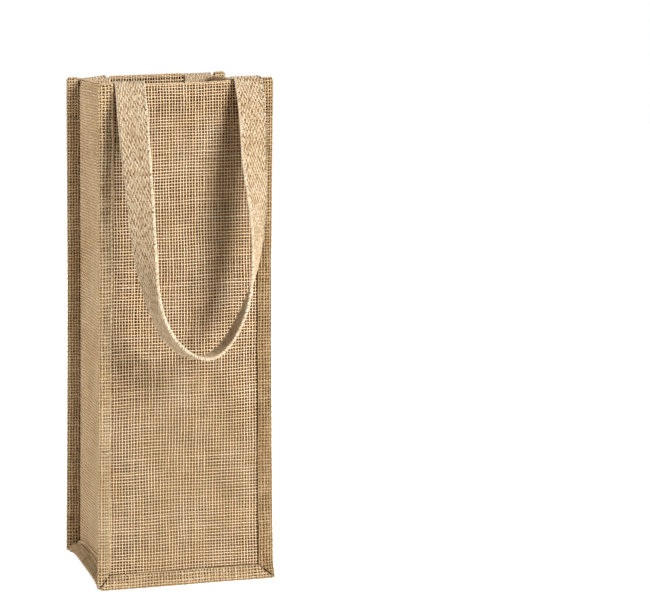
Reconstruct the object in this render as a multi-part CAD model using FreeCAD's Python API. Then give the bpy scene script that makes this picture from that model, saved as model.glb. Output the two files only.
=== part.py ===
import FreeCAD, Part
import math
import os

# Bottle carrier: a boxed tote of woven jute with bound seams and two webbing handles.
# Millimetres, +Z up. The front panel faces -Y, and the origin lies on the floor under
# the middle of the base. Every cloth piece is a solid of its real thickness.

Vector = FreeCAD.Vector

# Driving dimensions of the bag
bag_width = 104.0          # over the upright bindings
bag_depth = 100.0          # over the outer faces of the front and back panels
bag_height = 296.0         # floor to rim
cloth = 1.6                # thickness of the panel cloth
tape = 1.2                 # thickness of the binding cloth
binding_width = 8.0        # how far a bound seam stands out from the body
fold_radius = 0.8          # inside radius where a panel turns out into its seam
tape_gap = 0.4             # from a binding's edge to the bend of the panel beside it
seam_gap = 0.1             # between the ends of neighbouring bindings
floor_flat = 0.4           # how deep the base bindings are pressed flat by the floor
hem_depth = 36.0           # cloth turned in at the rim
hem_gap = 0.3              # from a hem's end to the piece beside it

# Driving dimensions of a handle
strap_width = 17.6
strap_thickness = 2.0
strap_inset = 0.4          # from a strap's edge to the inner face of the side panel
strap_clearance = 0.4      # from a hanging strap to the stitching behind it
sewn_length = 32.0         # strap end sewn to the inside of the hem
fold_run = 0.9             # straight run of the folded strap below the hinge line
hinge_gap = 0.3            # from the folded strap to the swinging loop
handle_drop = 154.0        # hinge line to the middle of the loop's lowest part
loop_rise = 72.0           # height of the curved part of the loop
twist_run = 190.0          # strap length over which the flat strap would turn fully on edge
stand_off = 26.0           # how far the springy loop comes to stand off the panel
spring_run = 40.0          # drop over which it swings out most of that
leg_spans = 7              # straight spans drawn along each leg
loop_spans = 16            # spans drawn round the curved part

# Driving dimensions of the stitching
thread_width = 0.8
thread_height = 0.4
hem_stitch_drop = 3.3      # rim to the hem's row of stitching
binding_stitch_inset = 1.4  # a binding's edge to its row of stitching
box_drop = 2.6             # hem row to the top of a handle's stitched box
box_margin = 2.4           # a strap's edge to the stitched box

overrun = 5.0              # how far cutting solids reach past what they cut

# Places that follow from the driving dimensions
half_width = bag_width / 2
face_y = bag_depth / 2                # outer faces of the front and back panels
seam_y = face_y - cloth               # their inner faces, where the side seams lie
inner_y = seam_y - cloth              # inner faces of the hem
nose_radius = cloth + tape            # half the thickness of a bound seam
nose_x = half_width - nose_radius
web_x = half_width - binding_width    # outer faces of the side panels
web_inner_x = web_x - cloth
base_bottom = -floor_flat             # where the base bindings would reach if not pressed flat
nose_z = base_bottom + nose_radius
base_z = base_bottom + binding_width  # underside of the base panel
base_top_z = base_z + cloth
rim_z = bag_height - cloth            # centre of the rounded rim
bend_rise = cloth * math.tan(math.radians(22.5))  # offset of a sheet's outer corner in a half-square bend
bend_z = base_top_z + bend_rise       # where a side panel turns out into its base seam
end_y = inner_y - tape - seam_gap     # ends of the side base seams
leg_length = binding_width - nose_radius
inner_leg_length = leg_length - fold_radius - tape_gap

strap_outer_x = web_inner_x - strap_inset
strap_inner_x = strap_outer_x - strap_width
strap_x = (strap_outer_x + strap_inner_x) / 2
strap_fold_radius = cloth + (thread_height + strap_clearance) / 2
hinge_y = inner_y + strap_fold_radius
strap_y = hinge_y + strap_fold_radius + strap_thickness / 2
side_hem_y = inner_y - strap_thickness - hem_gap

left, right = -1, 1
front, back = -1, 1
side_names = {left: "left", right: "right"}
face_names = {front: "front", back: "back"}


def line(start, end):
    return Part.LineSegment(start, end).toShape()


def arc(start, middle, end):
    return Part.Arc(start, middle, end).toShape()


def slab(corner, opposite):
    """A box between two opposite corners, given in any order."""
    low = Vector(min(corner.x, opposite.x), min(corner.y, opposite.y), min(corner.z, opposite.z))
    high = Vector(max(corner.x, opposite.x), max(corner.y, opposite.y), max(corner.z, opposite.z))
    size = high - low
    return Part.makeBox(size.x, size.y, size.z, low)


def prism(points, sweep):
    """A polygon swept along a vector."""
    return Part.Face(Part.makePolygon(points + points[:1])).extrude(sweep)


def joined(first, *others):
    return first.multiFuse(list(others)).removeSplitter()


def round_fold(centre, outwards, sweep):
    """The rounded top of a hem: two layers of cloth turned over a line."""
    reach = outwards * cloth
    outer = centre + reach
    inner = centre - reach
    top = centre + Vector(0, 0, cloth)
    return Part.Face(Part.Wire([arc(outer, top, inner), line(inner, outer)])).extrude(sweep)


# Panels

def wide_panel(face):
    """Front or back panel: one sheet into the bindings, its top turned in as a hem."""
    hem_x = web_inner_x - hem_gap
    fold_x = web_x - hem_gap
    sheet = slab(Vector(-nose_x, face * seam_y, nose_z), Vector(nose_x, face * face_y, rim_z))
    hem = slab(Vector(-hem_x, face * inner_y, bag_height - hem_depth), Vector(hem_x, face * seam_y, rim_z))
    fold = round_fold(Vector(-fold_x, face * seam_y, rim_z), Vector(0, face, 0), Vector(2 * fold_x, 0, 0))
    return joined(sheet, hem, fold)


def side_panel(side):
    """Side panel: a web whose front, back and lower edges turn out into the seams."""
    flange_x = web_x + fold_radius
    turn_y = inner_y - fold_radius
    inner_reach = fold_radius * math.sqrt(0.5)
    outer_reach = (fold_radius + cloth) * math.sqrt(0.5)

    def at(x, y):
        return Vector(side * x, y, bend_z)

    outline = Part.Wire([
        line(at(nose_x, -inner_y), at(flange_x, -inner_y)),
        arc(at(flange_x, -inner_y), at(flange_x - inner_reach, -turn_y - inner_reach), at(web_x, -turn_y)),
        line(at(web_x, -turn_y), at(web_x, turn_y)),
        arc(at(web_x, turn_y), at(flange_x - inner_reach, turn_y + inner_reach), at(flange_x, inner_y)),
        line(at(flange_x, inner_y), at(nose_x, inner_y)),
        line(at(nose_x, inner_y), at(nose_x, seam_y)),
        line(at(nose_x, seam_y), at(flange_x, seam_y)),
        arc(at(flange_x, seam_y), at(flange_x - outer_reach, turn_y + outer_reach), at(web_inner_x, turn_y)),
        line(at(web_inner_x, turn_y), at(web_inner_x, -turn_y)),
        arc(at(web_inner_x, -turn_y), at(flange_x - outer_reach, -turn_y - outer_reach), at(flange_x, -seam_y)),
        line(at(flange_x, -seam_y), at(nose_x, -seam_y)),
        line(at(nose_x, -seam_y), at(nose_x, -inner_y)),
    ])
    web = Part.Face(outline).extrude(Vector(0, 0, rim_z - bend_z))

    slope = cloth * math.sqrt(0.5)
    lower_edge = prism([
        Vector(side * web_inner_x, -end_y, bend_z),
        Vector(side * web_inner_x, -end_y, base_top_z),
        Vector(side * nose_x, -end_y, nose_z),
        Vector(side * (nose_x + slope), -end_y, nose_z + slope),
        Vector(side * web_x, -end_y, bend_z),
    ], Vector(0, 2 * end_y, 0))

    hem_x = web_inner_x - cloth
    hem = slab(
        Vector(side * hem_x, -side_hem_y, bag_height - hem_depth),
        Vector(side * web_inner_x, side_hem_y, rim_z),
    )
    fold = round_fold(
        Vector(side * web_inner_x, -side_hem_y, rim_z),
        Vector(side, 0, 0),
        Vector(0, 2 * side_hem_y, 0),
    )
    return joined(web, lower_edge, hem, fold)


def base_panel():
    """Base: a sheet with its front and back edges turned down and its side edges turned out and down."""
    slope = cloth * math.sqrt(0.5)
    corner_x = web_inner_x - bend_rise
    across = prism([
        Vector(-web_inner_x, -end_y, base_top_z),
        Vector(web_inner_x, -end_y, base_top_z),
        Vector(nose_x, -end_y, nose_z),
        Vector(nose_x - slope, -end_y, nose_z - slope),
        Vector(corner_x, -end_y, base_z),
        Vector(-corner_x, -end_y, base_z),
        Vector(-nose_x + slope, -end_y, nose_z - slope),
        Vector(-nose_x, -end_y, nose_z),
    ], Vector(0, 2 * end_y, 0))
    pieces = [turned_down_edge(face, corner_x) for face in (front, back)]
    return joined(across, *pieces)


def turned_down_edge(face, half_length):
    """The base's edge behind the front or back panel, bent down into the seam."""
    turn_y = inner_y - fold_radius
    turn_z = base_z - fold_radius
    inner_reach = fold_radius * math.sqrt(0.5)
    outer_reach = (fold_radius + cloth) * math.sqrt(0.5)
    root_y = end_y - cloth

    def at(y, z):
        return Vector(-half_length, face * y, z)

    outline = Part.Wire([
        line(at(root_y, base_top_z), at(turn_y, base_top_z)),
        arc(at(turn_y, base_top_z), at(turn_y + outer_reach, turn_z + outer_reach), at(seam_y, turn_z)),
        line(at(seam_y, turn_z), at(seam_y, nose_z)),
        line(at(seam_y, nose_z), at(inner_y, nose_z)),
        line(at(inner_y, nose_z), at(inner_y, turn_z)),
        arc(at(inner_y, turn_z), at(turn_y + inner_reach, turn_z + inner_reach), at(turn_y, base_z)),
        line(at(turn_y, base_z), at(root_y, base_z)),
        line(at(root_y, base_z), at(root_y, base_top_z)),
    ])
    return Part.Face(outline).extrude(Vector(2 * half_length, 0, 0))


# Bindings

def binding_profile(nose, forwards, outwards, outer_leg, inner_leg):
    """Section of a folded tape: two legs round the seam's two sheets, joined by a round nose."""
    def at(along, across):
        return nose + forwards * along + outwards * across

    return Part.Face(Part.Wire([
        line(at(-outer_leg, nose_radius), at(0, nose_radius)),
        arc(at(0, nose_radius), at(nose_radius, 0), at(0, -nose_radius)),
        line(at(0, -nose_radius), at(-inner_leg, -nose_radius)),
        line(at(-inner_leg, -nose_radius), at(-inner_leg, -cloth)),
        line(at(-inner_leg, -cloth), at(0, -cloth)),
        arc(at(0, -cloth), at(cloth, 0), at(0, cloth)),
        line(at(0, cloth), at(-outer_leg, cloth)),
        line(at(-outer_leg, cloth), at(-outer_leg, nose_radius)),
    ]))


def mitre_half(side, face, above):
    """A wedge on one side of the slanting line where an upright and a base binding meet."""
    low_x = web_x - overrun
    high_x = half_width + overrun
    low_z = base_bottom - overrun
    high_z = base_z + overrun
    near_y = face * (face_y + tape + overrun)
    far_y = face * (inner_y - tape - overrun)
    square = Vector(side * high_x, near_y, high_z) if above else Vector(side * low_x, near_y, low_z)
    points = [Vector(side * low_x, near_y, high_z), Vector(side * high_x, near_y, low_z), square]
    return prism(points, Vector(0, far_y - near_y, 0))


def below_floor():
    reach_x = half_width + overrun
    reach_y = face_y + tape + overrun
    return slab(Vector(-reach_x, -reach_y, base_bottom - overrun), Vector(reach_x, reach_y, 0))


def upright_binding(side, face):
    nose = Vector(side * nose_x, face * seam_y, base_bottom)
    profile = binding_profile(nose, Vector(side, 0, 0), Vector(0, face, 0), leg_length, inner_leg_length)
    tube = profile.extrude(Vector(0, 0, bag_height - base_bottom))
    return tube.cut(mitre_half(side, face, above=False)).cut(below_floor())


def base_binding(face):
    nose = Vector(-half_width, face * seam_y, nose_z)
    profile = binding_profile(nose, Vector(0, 0, -1), Vector(0, face, 0), leg_length, inner_leg_length)
    bar = profile.extrude(Vector(bag_width, 0, 0))
    for side in (left, right):
        bar = bar.cut(mitre_half(side, face, above=True))
    return bar.cut(below_floor())


def side_base_frame(side):
    """Nose line, direction towards the nose, outward normal and leg length of a side base seam."""
    forwards = Vector(side, 0, -1).normalize()
    outwards = Vector(side, 0, 1).normalize()
    nose = Vector(side * nose_x, -end_y, nose_z)
    seam_length = (nose_x - web_inner_x) * math.sqrt(2)
    return nose, forwards, outwards, seam_length - bend_rise - tape_gap


def side_base_binding(side):
    nose, forwards, outwards, leg = side_base_frame(side)
    profile = binding_profile(nose, forwards, outwards, leg, leg)
    return profile.extrude(Vector(0, 2 * end_y, 0)).cut(below_floor())


# Handles

def strap_span(side):
    return side * strap_inner_x, side * strap_outer_x


def sewn_end(side, face):
    """The strap's end, lying flat on the inside of the hem."""
    near_x, far_x = strap_span(side)
    return slab(
        Vector(near_x, face * inner_y, rim_z - sewn_length),
        Vector(far_x, face * (inner_y - strap_thickness), rim_z),
    )


def strap_fold(side, face):
    """The strap turned over the rim, with a short run down the outside."""
    near_x, far_x = strap_span(side)
    outer_radius = strap_fold_radius + strap_thickness
    low_z = rim_z - fold_run

    def at(reach, z):
        return Vector(near_x, face * (hinge_y + reach), z)

    outline = Part.Wire([
        arc(at(-outer_radius, rim_z), at(0, rim_z + outer_radius), at(outer_radius, rim_z)),
        line(at(outer_radius, rim_z), at(outer_radius, low_z)),
        line(at(outer_radius, low_z), at(strap_fold_radius, low_z)),
        line(at(strap_fold_radius, low_z), at(strap_fold_radius, rim_z)),
        arc(at(strap_fold_radius, rim_z), at(0, rim_z + strap_fold_radius), at(-strap_fold_radius, rim_z)),
        line(at(-strap_fold_radius, rim_z), at(-outer_radius, rim_z)),
    ])
    return Part.Face(outline).extrude(Vector(far_x - near_x, 0, 0))


def loop_path():
    """Points down the left leg, round a half ellipse and up the right leg, each with its inward direction."""
    top_z = rim_z - fold_run - hinge_gap
    turn_z = rim_z - handle_drop + loop_rise
    legs = []
    for step in range(leg_spans):
        z = top_z + (turn_z - top_z) * step / leg_spans
        legs.append((strap_x, z))
    path = [(Vector(-x, 0, z), Vector(1, 0, 0)) for x, z in legs]
    for step in range(loop_spans + 1):
        angle = math.pi * step / loop_spans
        across = -math.cos(angle)
        down = -math.sin(angle)
        inward = Vector(-across / strap_x, 0, -down / loop_rise).normalize()
        path.append((Vector(across * strap_x, 0, turn_z + down * loop_rise), inward))
    path.extend((Vector(x, 0, z), Vector(-1, 0, 0)) for x, z in reversed(legs))
    return path


def handle_loop(face):
    """The hanging loop: flat at the rim, turned on edge and standing off the panel at its lowest part."""
    path = loop_path()
    distances = [0]
    for (here, _), (there, _) in zip(path, path[1:]):
        distances.append(distances[-1] + (there - here).Length)
    outwards = Vector(0, face, 0)
    sections = []
    for (point, inward), distance in zip(path, distances):
        from_rim = min(distance, distances[-1] - distance)
        turn = math.pi / 2 * math.sin(math.pi / 2 * from_rim / twist_run)
        width = (inward * math.cos(turn) + outwards * math.sin(turn)) * (strap_width / 2)
        depth = (outwards * math.cos(turn) - inward * math.sin(turn)) * (strap_thickness / 2)
        swung_out = stand_off * (1 - math.exp((point.z - rim_z) / spring_run))
        centre = point + outwards * (strap_y + strap_width / 2 * math.sin(turn) + swung_out)
        corners = [centre - width - depth, centre + width - depth, centre + width + depth, centre - width + depth]
        sections.append(Part.makePolygon(corners + corners[:1]))
    return Part.makeLoft(sections, True, True)


# Stitching

def thread_run(start, end, outwards):
    """One run of thread lying on a face."""
    across = (end - start).cross(outwards).normalize() * (thread_width / 2)
    return prism([start - across, end - across, end + across, start + across], outwards * thread_height)


def hem_stitching():
    """A row round the rim, one run on each panel."""
    z = bag_height - hem_stitch_drop
    runs = []
    for face in (front, back):
        reach = web_x - hem_gap
        runs.append(thread_run(
            Vector(-reach, face * face_y, z), Vector(reach, face * face_y, z), Vector(0, face, 0)))
    for side in (left, right):
        runs.append(thread_run(
            Vector(side * web_x, -side_hem_y, z), Vector(side * web_x, side_hem_y, z), Vector(side, 0, 0)))
    return Part.makeCompound(runs)


def binding_stitching(face):
    """Rows along the two upright bindings and the base binding of the front or back."""
    row_x = web_x + binding_stitch_inset
    row_z = base_z - binding_stitch_inset
    row_y = face * (face_y + tape)
    outwards = Vector(0, face, 0)
    runs = [thread_run(Vector(-row_x, row_y, row_z), Vector(row_x, row_y, row_z), outwards)]
    for side in (left, right):
        foot = Vector(side * row_x, row_y, row_z + thread_width)
        runs.append(thread_run(foot, Vector(side * row_x, row_y, bag_height), outwards))
    return Part.makeCompound(runs)


def side_base_stitching():
    runs = []
    for side in (left, right):
        nose, forwards, outwards, leg = side_base_frame(side)
        start = nose - forwards * (leg - binding_stitch_inset) + outwards * nose_radius
        runs.append(thread_run(start, start + Vector(0, 2 * end_y, 0), outwards))
    return Part.makeCompound(runs)


def crossed_box(side, y, outwards):
    """A stitched box with a cross in it, through a strap's end and the hem."""
    near_x = side * (strap_inner_x + box_margin)
    far_x = side * (strap_outer_x - box_margin)
    top_z = bag_height - hem_stitch_drop - box_drop
    low_z = rim_z - sewn_length + box_margin
    corners = [Vector(near_x, y, low_z), Vector(far_x, y, low_z), Vector(far_x, y, top_z), Vector(near_x, y, top_z)]
    runs = [thread_run(start, end, outwards) for start, end in zip(corners, corners[1:] + corners[:1])]
    runs.append(thread_run(corners[0], corners[2], outwards))
    runs.append(thread_run(corners[1], corners[3], outwards))
    return joined(*runs)


def handle_stitching(face):
    boxes = []
    for side in (left, right):
        boxes.append(crossed_box(side, face * (inner_y - strap_thickness), Vector(0, -face, 0)))
        boxes.append(crossed_box(side, face * face_y, Vector(0, face, 0)))
    return Part.makeCompound(boxes)


def all_pieces():
    pieces = {"base_panel": base_panel(), "hem_stitching": hem_stitching()}
    pieces["side_base_stitching"] = side_base_stitching()
    for side, side_name in side_names.items():
        pieces[side_name + "_side_panel"] = side_panel(side)
        pieces[side_name + "_base_binding"] = side_base_binding(side)
    for face, face_name in face_names.items():
        pieces[face_name + "_panel"] = wide_panel(face)
        pieces[face_name + "_base_binding"] = base_binding(face)
        pieces[face_name + "_binding_stitching"] = binding_stitching(face)
        pieces[face_name + "_handle_loop"] = handle_loop(face)
        pieces[face_name + "_handle_stitching"] = handle_stitching(face)
        for side, side_name in side_names.items():
            place = face_name + "_" + side_name
            strap = face_name + "_handle_" + side_name
            pieces[place + "_binding"] = upright_binding(side, face)
            pieces[strap + "_end"] = sewn_end(side, face)
            pieces[strap + "_fold"] = strap_fold(side, face)
    return pieces


os.makedirs("parts", exist_ok=True)
for name, shape in all_pieces().items():
    shape.exportStep("parts/" + name + ".step")
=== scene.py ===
import math

import bpy
import numpy as np
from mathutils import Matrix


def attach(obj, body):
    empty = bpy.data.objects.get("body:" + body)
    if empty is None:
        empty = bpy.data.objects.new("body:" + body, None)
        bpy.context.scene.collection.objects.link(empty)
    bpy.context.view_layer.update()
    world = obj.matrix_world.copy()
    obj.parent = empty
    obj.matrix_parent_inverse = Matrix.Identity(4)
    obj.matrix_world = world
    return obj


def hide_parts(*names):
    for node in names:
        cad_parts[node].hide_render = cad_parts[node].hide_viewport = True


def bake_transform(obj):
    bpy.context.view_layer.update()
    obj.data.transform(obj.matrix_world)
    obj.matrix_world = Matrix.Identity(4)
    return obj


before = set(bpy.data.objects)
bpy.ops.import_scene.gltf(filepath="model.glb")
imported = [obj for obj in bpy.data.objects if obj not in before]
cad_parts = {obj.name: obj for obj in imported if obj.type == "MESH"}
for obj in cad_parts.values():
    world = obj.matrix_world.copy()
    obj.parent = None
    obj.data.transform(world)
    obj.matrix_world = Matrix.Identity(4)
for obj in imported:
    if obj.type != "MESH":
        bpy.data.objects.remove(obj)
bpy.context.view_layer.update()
bpy.ops.object.select_all(action="DESELECT")

# Sizes are in millimetres and become metres when a mesh is written.
metres = 0.001
bag_width = 104.0
bag_depth = 100.0
bag_height = 296.0
cloth = 1.6
tape = 1.2
binding_width = 8.0
fold_radius = 0.8
tape_gap = 0.4
floor_flat = 0.4
hem_depth = 36.0
strap_width = 17.6
strap_thickness = 2.0
sewn_length = 32.0
strap_x = 33.2
hinge_y = 48.8
strap_fold_radius = 3.0
strap_fold_height = 2.4
stand_off = 26.0
spring_run = 40.0
half_slant = math.radians(22.5)
strip_end_gap = 0.1
side_hem_gap = 0.3

half_width = bag_width / 2
face_y = bag_depth / 2
seam_y = face_y - cloth
inner_y = seam_y - cloth
nose_radius = cloth + tape
nose_x = half_width - nose_radius
web_x = half_width - binding_width
web_inner_x = web_x - cloth
nose_z = nose_radius - floor_flat
base_z = binding_width - floor_flat
rim_z = bag_height - cloth
bend_z = base_z + cloth + cloth * math.tan(half_slant)
end_y = inner_y - tape - strip_end_gap
side_hem_y = inner_y - strap_thickness - side_hem_gap

# The weave: yarns a pitch apart, each wider than it is thick, over one and under one.
warp_pitch = 1.7
weft_pitch = 1.75
yarn_half_width = 0.47
binding_half_width = 0.64
yarn_half_height = 0.32
yarn_swing = 0.2
float_share = 0.23
relief = yarn_half_height + yarn_swing
film_depth = 0.66
film_thickness = 0.3
film_low = film_depth + film_thickness
middle_tone_share = 0.5

left, right = -1, 1
front, back = -1, 1
side_names = {left: "left", right: "right"}
face_names = {front: "front", back: "back"}

# Sections of a yarn, a webbing float and a thread, in shares of their half width and thickness.
yarn_section_shares = np.array([(-1.0, -0.4), (0.0, 1.0), (1.0, -0.4)])
float_section_shares = np.array([(-1.0, -0.4), (-0.55, 0.75), (0.55, 0.75), (1.0, -0.4)])
thread_section_shares = np.array(
    [(math.cos(k * math.pi / 3), math.sin(k * math.pi / 3)) for k in range(6, 0, -1)]
)


# How the soft bag has settled

corner_shifts = {
    (left, front, 0): (-3.0, -0.6, 0.0),
    (right, front, 0): (0.3, 0.0, 0.0),
    (left, back, 0): (-1.8, 0.0, 1.5),
    (right, back, 0): (0.3, 0.0, 0.0),
    (left, front, 1): (1.0, 0.0, -1.3),
    (right, front, 1): (1.1, 0.0, 1.7),
    (left, back, 1): (2.4, 0.0, -1.2),
    (right, back, 1): (-1.7, 0.0, 1.5),
}
# How far each wall bows, how high its ripple is, and the ripple's lengths up the wall and across it.
wall_bows = {
    "front": (-1.2, 0.7, 31, 19),
    "back": (1.4, 0.6, 36, -22),
    "side": (1.6, 0.4, 29, 18),
}
# Where each local move starts, and the run over which it grows, downwards or inwards where that is negative.
move_ramps = {
    "right foot": (12, -12),
    "rim": (250, 45),
    "side rim": (46, -3),
    "low corner to the back": (18, 24),
    "low corner to the left": (38, 6),
    "low corner below": (20, -12),
    "low corner above": (0, 5),
    "base side": (30, 10),
    "base height": (30, -26),
    "under strap": (10.6, -1.4),
    "back rim": (40, 6),
    "back rim height": (270, 25),
}
right_foot_x = 40.0
right_foot_kick = 1.0
edge_pulls = {left: 0.6, right: 1.1}
front_rim_sag = 1.3
side_rim_sags = {left: 0.5, right: 1.6}
side_rim_dip = 0.8
low_corner_drop = 1.8
base_arch = 2.6
strap_dent_x = 34.3
strap_dent = 2.0
lowest_z = 0.02
wall_power = 6
edge_power = 4
corner_radii = {left: 4.0, right: 2.0}
# Lengths below which two places count as one, and the least length to divide by.
least_length = 1e-6
tiny = 1e-9


def eased(share):
    """Smooth rise from 0 to 1."""
    share = np.clip(share, 0, 1)
    return share * share * (3 - 2 * share)


def ramp(name, place):
    """How much of a local move there is at a place, from 0 to 1."""
    start, run = move_ramps[name]
    return eased((place - start) / run)


def bowed(wall, tall, up, across):
    """How far a wall stands out by its bow and its ripple."""
    bow, ripple, up_length, across_length = wall_bows[wall]
    return bow * tall + ripple * np.sin(up / up_length + across / across_length)


def by_side(values, x):
    """The left side's or the right side's value at each place."""
    return np.where(x < 0, values[left], values[right])


def settled(points):
    """Points of the square bag, moved as the standing bag leans, sags and bows."""
    x, y, z = points.reshape(-1, 3).T
    across = np.clip(x / half_width, -1, 1)
    depth = np.clip(y / face_y, -1, 1)
    level = np.clip(z / bag_height, 0, 1)
    shift = np.zeros((len(x), 3))
    for (side, face, top), corner in corner_shifts.items():
        share = (1 + side * across) * (1 + face * depth) / 4 * (level if top else 1 - level)
        shift += share[:, None] * np.array(corner)
    near_front = np.clip(-y / seam_y, 0, 1) ** wall_power
    near_back = np.clip(y / seam_y, 0, 1) ** wall_power
    near_side = np.clip(np.abs(x) / web_inner_x, 0, 1) ** wall_power * (np.abs(y) < face_y)
    bow = 1 - np.clip(np.abs(x) / web_x, 0, 1) ** 2
    side_bow = 1 - np.clip(np.abs(y) / inner_y, 0, 1) ** 2
    tall = np.sin(math.pi * level)
    shift[:, 1] += near_front * bow * bowed("front", tall, z, x)
    shift[:, 1] += near_back * bow * bowed("back", tall, z, x)
    shift[:, 0] -= np.sign(x) * near_side * side_bow * bowed("side", tall, z, y)
    shift[:, 0] -= np.sign(x) * across ** edge_power * by_side(edge_pulls, x) * tall
    shift[:, 0] += (x > right_foot_x) * ramp("right foot", z) * right_foot_kick
    rim_share = ramp("rim", z)
    shift[:, 2] -= near_front * bow * front_rim_sag * rim_share
    side_sag = by_side(side_rim_sags, x) + side_rim_dip * side_bow
    shift[:, 2] -= near_side * ramp("side rim", np.abs(y)) * side_sag * rim_share
    low_corner = ramp("low corner to the back", y) * ramp("low corner to the left", -x)
    low_corner = low_corner * ramp("low corner below", z) * ramp("low corner above", z)
    shift[:, 2] -= low_corner_drop * low_corner
    arch = 1 - np.clip(np.abs(y) / end_y, 0, 1) ** edge_power
    base_side = ramp("base side", np.abs(x)) * ramp("base height", z)
    shift[:, 2] += base_side * arch * base_arch
    under_strap = ramp("under strap", np.abs(np.abs(x) - strap_dent_x))
    shift[:, 2] -= ramp("back rim", y) * ramp("back rim height", z) * under_strap * strap_dent
    moved = points.reshape(-1, 3) + shift
    moved[:, 2] = np.maximum(moved[:, 2], lowest_z)
    return moved.reshape(points.shape)


def corner_rounded(points):
    """Takes the point off the two lower corners of a face."""
    x, y, z = points.reshape(-1, 3).T.copy()
    radius = by_side(corner_radii, x)
    out = np.abs(x) - (half_width - radius)
    down = radius - floor_flat - z
    both = (out > 0) & (down > 0)
    reach = np.maximum(out, down)
    shrink = np.where(both, reach / np.maximum(np.hypot(out, down), tiny), 1)
    x = np.where(both, np.sign(x) * (half_width - radius + out * shrink), x)
    z = np.where(both, radius - floor_flat - down * shrink, z)
    return np.stack([x, y, z], -1).reshape(points.shape)


def rounded_and_settled(points):
    return settled(corner_rounded(points))


# Meshes. A surface gives a point for a, the place across the cloth, and v, the place along it.

normal_step = 0.04
map_margin_share = 0.08
map_used_share = 0.84
whole_map = (0, 0, 1, 1)
sheet_rooms = ((0, 0, 0.49, 1), (0.51, 0, 1, 1))


def write_piece(name, parts, materials):
    """One object from parts, each a dict of points, faces, corner places on the map, and yarn places."""
    points = np.concatenate([part["points"].reshape(-1, 3) for part in parts])
    yarn = np.concatenate([part["yarn"].reshape(-1, 3) for part in parts])
    first = 0
    corner_lists, place_lists, counts, slots = [], [], [], []
    for part in parts:
        flip = -1 if volume(part) < 0 else 1
        part_slots = part.get("slots", [0] * len(part["faces"]))
        for faces, places, slot in zip(part["faces"], part["places"], part_slots):
            corner_lists.append((faces[:, ::flip] + first).ravel())
            place_lists.append(places[:, ::flip].reshape(-1, 2))
            counts.append(np.full(len(faces), faces.shape[1]))
            slots.append(np.full(len(faces), slot))
        first += len(part["points"].reshape(-1, 3))
    corners = np.concatenate(corner_lists)
    places = np.concatenate(place_lists)
    counts = np.concatenate(counts)
    used, corners = np.unique(corners, return_inverse=True)
    points, yarn = points[used], yarn[used]
    mesh = bpy.data.meshes.new(name)
    mesh.vertices.add(len(points))
    mesh.vertices.foreach_set("co", (points * metres).astype(np.float32).ravel())
    mesh.loops.add(len(corners))
    mesh.loops.foreach_set("vertex_index", corners.astype(np.int32))
    mesh.polygons.add(len(counts))
    mesh.polygons.foreach_set("loop_start", (np.cumsum(counts) - counts).astype(np.int32))
    mesh.polygons.foreach_set("use_smooth", np.ones(len(counts), bool))
    mesh.polygons.foreach_set("material_index", np.concatenate(slots).astype(np.int32))
    mesh.update(calc_edges=True)
    uv = mesh.uv_layers.new(name="OFBake")
    uv.uv.foreach_set("vector", places.astype(np.float32).ravel())
    attribute = mesh.attributes.new("yarn", "FLOAT_VECTOR", "POINT")
    attribute.data.foreach_set("vector", yarn.astype(np.float32).ravel())
    for material in materials:
        mesh.materials.append(material)
    piece = bpy.data.objects.new(name, mesh)
    bpy.context.scene.collection.objects.link(piece)
    return piece


def volume(part):
    """Six times the signed volume of a closed part."""
    points = part["points"].reshape(-1, 3)
    total = 0.0
    for faces in part["faces"]:
        for second in range(1, faces.shape[1] - 1):
            a, b, c = (points[faces[:, k]] for k in (0, second, second + 1))
            total += float((a * np.cross(b, c)).sum())
    return total


def lifted(surface, a, v, lift):
    """Points at a height over a surface."""
    over_a = surface(a + normal_step, v) - surface(a - normal_step, v)
    over_v = surface(a, v + normal_step) - surface(a, v - normal_step)
    normal = np.cross(over_a, over_v)
    normal /= np.maximum(np.linalg.norm(normal, axis=-1, keepdims=True), tiny)
    return surface(a, v) + normal * lift[..., None]


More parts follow.
